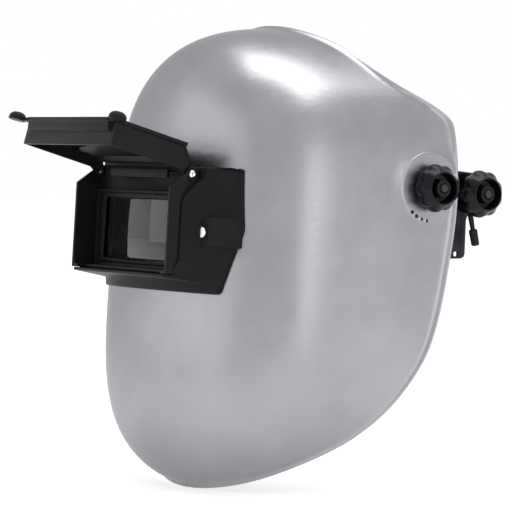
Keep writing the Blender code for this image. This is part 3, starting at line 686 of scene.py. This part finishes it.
class OBJECT_OT_helmet_shell(bpy.types.Operator):
    """Builds the silver shield with its rolled lip, pivot pads, stop holes and lens opening"""

    bl_idname = "object.helmet_shell"
    bl_label = "Shield"

    def execute(self, context):
        values = settings("shell")
        made = add_object("silver_shield", shield_surface(values.sides, values.rings))
        made.data.materials.append(finish("silver"))
        made.data.materials.append(finish("inside"))
        wall = made.modifiers.new("wall", "SOLIDIFY")
        wall.thickness = values.wall
        wall.offset = -1.0
        wall.use_even_offset = True
        wall.material_offset = 1
        rounding = made.modifiers.new("lip", "BEVEL")
        rounding.width = 0.6
        rounding.segments = 3
        rounding.limit_method = "ANGLE"
        rounding.angle_limit = math.radians(50)
        bake_modifiers(made)
        for side, _ in SIDES:
            pad = pivot_pad()
            pad.materials.append(finish("silver"))
            boolean(made, pad if side > 0 else mirrored(pad), "UNION")
        for side, _ in SIDES:
            post = rod(POST_RADIUS, 26.0, NUT_Y - 0.3, (side * SCREW_X, 0.0), "Y", 40)
            post.transform(holder_matrix())
            post.materials.append(finish("inside"))
            boolean(made, post, "UNION")
            hole = rod(SCREW_HOLE_RADIUS, 5.0, 50.0, (side * SCREW_X, 0.0), "Y", 24)
            hole.transform(holder_matrix())
            hole.materials.append(finish("inside"))
            boolean(made, hole, "DIFFERENCE")
        cutters = [rod(BORE_RADIUS, -140.0, 140.0)]
        cutters += [
            rod(STOP_HOLE_RADIUS, -140.0, 140.0, stop_hole_centre(angle), sides=24)
            for angle in STOP_HOLE_ANGLES
        ]
        cutters.append(lens_opening())
        for cutter in cutters:
            cutter.materials.append(finish("silver"))
            boolean(made, cutter, "DIFFERENCE")
        made.data.transform(Matrix.Scale(MM, 4))
        made.data.shade_smooth()
        made.data.set_sharp_from_angle(angle=math.radians(32))
        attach(made, "helmet")
        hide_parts("shell")
        return {"FINISHED"}


# ---------------------------------------------------------------- lens holder

class OBJECT_OT_helmet_bezel(bpy.types.Operator):
    """Builds the tapered bezel round the lens box and its two screws with nuts"""

    bl_idname = "object.helmet_bezel"
    bl_label = "Bezel"

    def execute(self, context):
        edge = settings("holder").edge
        refined("holder_bezel", "bezel_hood", "holder", "helmet", edge * 1.3)
        for _, word in SIDES:
            refined(f"holder_screw_{word}", f"bezel_screw_{word}", "steel", "helmet", 0.0004)
            refined(f"holder_nut_{word}", f"bezel_nut_{word}", "steel", "helmet", 0.0003)
        return {"FINISHED"}


class OBJECT_OT_helmet_lens_box(bpy.types.Operator):
    """Builds the open lens box with its clear lens, gasket, retainer and lid rivets"""

    bl_idname = "object.helmet_lens_box"
    bl_label = "Lens box"

    def execute(self, context):
        edge = settings("holder").edge
        box = refined("lens_housing", "lens_box", "holder", "helmet", edge)
        strip = block(*BOX_TOP_STRIP)
        strip.transform(Matrix.Scale(MM, 4) @ holder_matrix())
        boolean(box, strip, "UNION")
        refined("cover_lens", "clear_lens", "window", "helmet", 0.0002, segments=2)
        refined("lens_gasket", "lens_seal", "rubber", "helmet", 0.0002, segments=2)
        refined("lens_retainer", "retaining_frame", "holder", "helmet", 0.0003, segments=2)
        for side, word in SIDES:
            profile = [
                (59.4, 0.0), (59.4, 1.4), (66.1, 1.4), (66.1, 2.7), (66.6, 2.75), (67.15, 2.3), (67.45, 1.5),
                (67.4, 1.1), (67.0, 0.8), (67.0, 0.0),
            ]
            rivet = turned(smoothed(profile, 0.25, 3), 40, (HINGE_Y, HINGE_Z))
            rivet = rivet if side > 0 else mirrored(rivet)
            rivet.transform(holder_matrix())
            dress(rivet, f"lid_rivet_{word}", "steel", "helmet", (f"hinge_pin_{word}",))
        return {"FINISHED"}


def grip_stud(ribs):
    """A domed, ribbed stud for the fingers, standing on a lid corner; drawn along X from nought."""
    profile = [
        (0.0, 0.0), (0.0, 6.35), (0.9, 6.5), (1.7, 6.15), (2.1, 6.4), (3.0, 6.25), (3.4, 5.7), (3.7, 5.75),
        (4.7, 5.0), (5.0, 4.3), (5.4, 4.0), (5.8, 2.9), (5.85, 1.6), (5.5, 0.8), (5.5, 0.0),
    ]

    def ribbed(angle, along, radius):
        depth = 0.42 * float(eased(np.array(radius), 3.2, 5.4)) * (0.25 if along < 1.0 else 1.0)
        return radius - depth * (0.5 + 0.5 * math.cos(ribs * angle)) ** 2

    return turned(smoothed(profile, 0.3, 3), ribs * 10, wave=ribbed)


class OBJECT_OT_helmet_lid(bpy.types.Operator):
    """Builds the flip-up lid with its grip studs, filter lens, cover plate, gasket and clip"""

    bl_idname = "object.helmet_lid"
    bl_label = "Lid"

    def execute(self, context):
        edge = settings("holder").edge
        lid = refined("lift_lid", "flip_lid", "lid", "lid", edge)
        to_metres = Matrix.Scale(MM, 4)
        for side, word in SIDES:
            socket = rod(STUD_RADIUS + 0.15, -27.0, -15.0, (side * STUD_PLACE[0], STUD_PLACE[2]), "Y", 64)
            socket.transform(to_metres @ lid_matrix())
            boolean(lid, socket, "DIFFERENCE")
            stud = grip_stud(settings("holder").stud_ribs)
            place = Matrix.Translation((side * STUD_PLACE[0], STUD_PLACE[1], STUD_PLACE[2]))
            stud.transform(lid_matrix() @ place @ Matrix.Rotation(math.radians(-90), 4, "Z"))
            dress(stud, f"lid_stud_{word}", "lid", "lid")
        refined("lid_cover_plate", "lid_clear_plate", "glass", "lid", 0.0002, segments=2)
        refined("filter_lens", "dark_lens", "filter", "lid", 0.0003, segments=2)
        refined("lid_lens_gasket", "lid_seal", "rubber", "lid", 0.0002, segments=2)
        refined("lid_lens_clip", "lid_clip", "holder", "lid", 0.0003, segments=2)
        return {"FINISHED"}


# ---------------------------------------------------------------- adapters

def knob(start, centre):
    """A lobed hand knob with a coned face, a deep socket and a boss round its bolt."""
    values = settings("adapter")
    r = values.knob_radius
    profile = [
        (4.6, 6.4), (13.2, 6.2), (13.8, 5.6), (13.8, 3.5), (0.0, 3.5), (0.0, 13.6), (1.4, r - 0.9),
        (3.2, r), (7.2, r), (9.4, r - 0.9), (12.3, 13.2), (14.0, 12.0), (14.4, 11.5), (14.2, 10.9),
        (5.2, 10.3), (4.6, 6.4),
    ]
    loop = smoothed(profile[:-1] + profile[:3], 0.55, 3)
    loop = loop[5:-1]
    waist = 12.4

    def lobed(angle, along, radius):
        share = min(max((radius - waist) / (r - waist), 0.0), 1.0)
        wave = 0.5 - 0.5 * math.cos(values.knob_lobes * angle)
        return radius - share * 1.7 * (1.0 - wave ** 0.55)

    start_index = next(i for i, point in enumerate(loop) if point[1] < 3.6)
    loop = loop[start_index:] + loop[:start_index]
    loop.append(loop[0])
    mesh = turned(loop, values.knob_lobes * 18, wave=lobed)
    mesh.transform(Matrix.Translation((start, *centre)))
    return mesh


class OBJECT_OT_helmet_knobs(bpy.types.Operator):
    """Builds the four lobed hand knobs"""

    bl_idname = "object.helmet_knobs"
    bl_label = "Knobs"

    def execute(self, context):
        for side, word in SIDES:
            for kind, start, centre in (("pivot", PIVOT_KNOB_X, PIVOT), ("blade", BLADE_KNOB_X, REAR_PIVOT)):
                mesh = knob(start, centre)
                mesh = mesh if side > 0 else mirrored(mesh)
                node = f"{kind}_knob_{word}"
                dress(mesh, f"lobed_{node}", "knob", node_body(node), (node,), 50.0)
        return {"FINISHED"}


def node_body(node):
    """The body that a frame node rides on."""
    return frame["nodes"][node]["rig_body"]


ADAPTER_PIECES = (
    # node, new piece, finish, slot, edge in metres
    ("mount_link", "adapter_link", "knob", "black_plastic", 0.0008),
    ("blade", "hat_blade", "blade", "black_blade", 0.00035),
    ("lever", "lock_lever", "knob", "black_plastic", 0.0006),
    ("lever_grip", "lever_sleeve", "rubber", "rubber", 0.0005),
    ("pivot_bolt", "front_bolt", "bolt", "steel", 0.0),
    ("blade_bolt", "rear_bolt", "bolt", "steel", 0.0),
    ("pivot_washer", "knob_washer", "bolt", "steel", 0.0002),
    ("stop_washer", "peg_washer", "knob", "black_plastic", 0.0002),
    ("stop_peg", "lock_peg", "knob", "black_plastic", 0.0002),
    ("friction_washer", "rubber_washer", "rubber", "rubber", 0.0002),
    ("blade_washer", "blade_seat", "rubber", "rubber", 0.0001),
)


class OBJECT_OT_helmet_adapters(bpy.types.Operator):
    """Builds the links, blades, levers, bolts and washers of both hard-hat adapters"""

    bl_idname = "object.helmet_adapters"
    bl_label = "Adapters"

    def execute(self, context):
        for _, word in SIDES:
            for node, name, finish_name, slot, edge in ADAPTER_PIECES:
                full = f"{node}_{word}"
                refined(full, f"{name}_{word}", finish_name, node_body(full), edge)
        return {"FINISHED"}


# ---------------------------------------------------------------- stage

CAMERA_PLACE = (1.8139, -1.2487, 0.0473)
CAMERA_TURN = (87.4, 0.0, 57.0)
CAMERA_LENS = 208.83
CAMERA_BEARING = -33.0        # degrees, from the object towards the camera
AIM = Vector((0.0, -0.06, -0.05))
FLOOR_HALF = 7.0


def softbox(name, bearing, height, distance, width, length, radiance):
    """An area light that faces the object, placed by its bearing from the camera side and its height angle."""
    a, e = math.radians(CAMERA_BEARING + bearing), math.radians(height)
    away = Vector((math.cos(a) * math.cos(e), math.sin(a) * math.cos(e), math.sin(e)))
    light = bpy.data.lights.new(name, "AREA")
    light.shape = "RECTANGLE"
    light.size = width
    light.size_y = length
    light.energy = radiance * math.pi * width * length
    made = bpy.data.objects.new(name, light)
    bpy.context.scene.collection.objects.link(made)
    made.location = AIM + away * distance
    made.rotation_euler = (-away).to_track_quat("-Z", "Y").to_euler()
    made.visible_camera = False
    return made


class OBJECT_OT_helmet_stage(bpy.types.Operator):
    """Sets up the pale floor, the soft studio light and the camera"""

    bl_idname = "object.helmet_stage"
    bl_label = "Stage"

    def execute(self, context):
        values = settings("stage")
        scene = context.scene
        bm = bmesh.new()
        bmesh.ops.create_grid(bm, x_segments=8, y_segments=8, size=FLOOR_HALF)
        mesh = bpy.data.meshes.new("floor")
        bm.to_mesh(mesh)
        bm.free()
        floor = add_object("floor", mesh)
        floor.location.z = CAD_BOX[0][2] - 0.0005
        mesh.materials.append(finish("floor"))
        world = bpy.data.worlds.new("studio")
        world.use_nodes = True
        surround = world.node_tree.nodes["Background"]
        surround.inputs["Color"].default_value = (1.0, 1.0, 1.0, 1.0)
        surround.inputs["Strength"].default_value = values.surround
        scene.world = world
        softbox("top_softbox", 70.0, 83.0, 2.0, 1.1, 2.3, values.top_light)
        softbox("strip_softbox", 43.0, 8.0, 2.0, 0.62, 1.0, values.strip_light)
        softbox("side_softbox", -82.0, 16.0, 2.2, 2.4, 1.4, values.side_light)
        lens = bpy.data.cameras.new("camera")
        lens.lens = CAMERA_LENS
        lens.sensor_width = 36.0
        lens.clip_start = 0.05
        lens.clip_end = 60.0
        camera = bpy.data.objects.new("camera", lens)
        scene.collection.objects.link(camera)
        camera.location = CAMERA_PLACE
        camera.rotation_euler = [math.radians(angle) for angle in CAMERA_TURN]
        scene.camera = camera
        scene.view_settings.view_transform = "Standard"
        return {"FINISHED"}


class VIEW3D_PT_helmet(bpy.types.Panel):
    """The helmet's steps in the sidebar"""

    bl_idname = "VIEW3D_PT_helmet"
    bl_label = "Welding helmet"
    bl_space_type = "VIEW_3D"
    bl_region_type = "UI"
    bl_category = "Helmet"

    def draw(self, context):
        for name, _ in SETTINGS:
            box = self.layout.box()
            group = settings(name)
            for key in group.bl_rna.properties.keys():
                if key not in ("rna_type", "name"):
                    box.prop(group, key)
        for operator in OPERATORS:
            self.layout.operator(operator.bl_idname)


SETTINGS = (
    ("shell", ShellSettings), ("holder", HolderSettings), ("adapter", AdapterSettings), ("stage", StageSettings),
)
OPERATORS = (
    OBJECT_OT_helmet_stage, OBJECT_OT_helmet_shell, OBJECT_OT_helmet_bezel, OBJECT_OT_helmet_lens_box,
    OBJECT_OT_helmet_lid, OBJECT_OT_helmet_knobs, OBJECT_OT_helmet_adapters,
)


def register():
    for name, group in SETTINGS:
        bpy.utils.register_class(group)
        setattr(bpy.types.Scene, "helmet_" + name, bpy.props.PointerProperty(type=group))
    for made in (*OPERATORS, VIEW3D_PT_helmet):
        bpy.utils.register_class(made)


def unregister():
    for made in reversed((*OPERATORS, VIEW3D_PT_helmet)):
        bpy.utils.unregister_class(made)
    for name, group in reversed(SETTINGS):
        delattr(bpy.types.Scene, "helmet_" + name)
        bpy.utils.unregister_class(group)


def main():
    register()
    bpy.ops.object.helmet_stage()
    bpy.ops.object.helmet_shell()
    bpy.ops.object.helmet_bezel()
    bpy.ops.object.helmet_lens_box()
    bpy.ops.object.helmet_lid()
    bpy.ops.object.helmet_knobs()
    bpy.ops.object.helmet_adapters()


if __name__ == "__main__":
    main()
